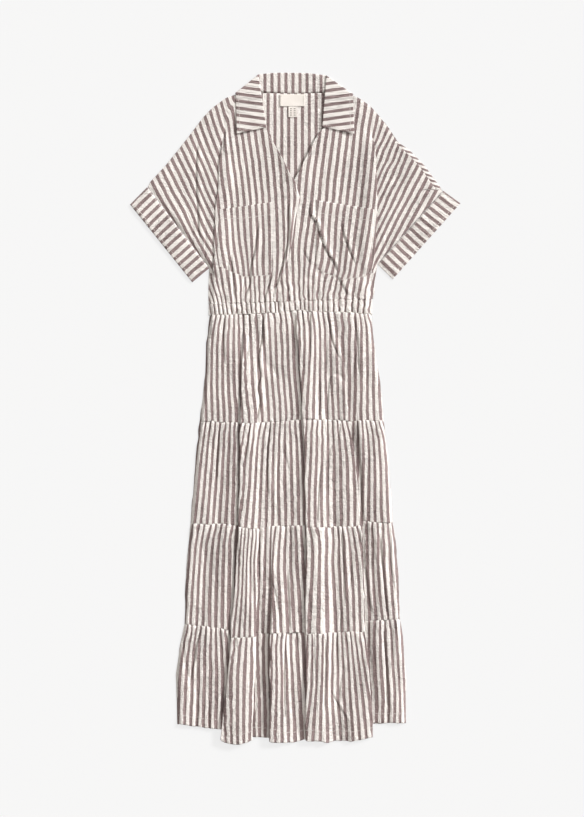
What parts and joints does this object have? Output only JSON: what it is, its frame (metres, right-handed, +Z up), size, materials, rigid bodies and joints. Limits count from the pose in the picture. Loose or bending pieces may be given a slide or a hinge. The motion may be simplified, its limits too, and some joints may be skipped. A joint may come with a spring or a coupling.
{
  "type": "wrap dress",
  "caption": "Maxi wrap dress with a V neck, camp collar, kimono sleeves with cuffs, chest pockets, elasticated waist and a tiered skirt, laid flat.",
  "frame": {"origin": "bottom centre of the whole laid-out dress, on the surface that it lies on", "axes": "+X to the left side of the wearer, +Y from the hem to the collar, +Z up from the surface"},
  "size_m": [0.6607, 1.3409, 0.0087],
  "materials": {
    "striped_cotton": "matte crinkled cotton, cream with taupe yarn-dyed stripes",
    "label": "smooth woven tape, bare"
  },
  "bodies": {
    "root": {"back_bodice": "striped_cotton", "front_right": "striped_cotton", "front_left": "striped_cotton", "pocket_right": "striped_cotton", "pocket_left": "striped_cotton", "cuff_right": "striped_cotton", "cuff_left": "striped_cotton", "collar": "striped_cotton", "waistband": "striped_cotton", "tier_1_front": "striped_cotton", "tier_1_back": "striped_cotton", "tier_2_front": "striped_cotton", "tier_2_back": "striped_cotton", "tier_3_front": "striped_cotton", "tier_3_back": "striped_cotton", "tier_4_front": "striped_cotton", "tier_4_back": "striped_cotton", "label": "label", "size_label": "label"}
  },
  "joints": []
}
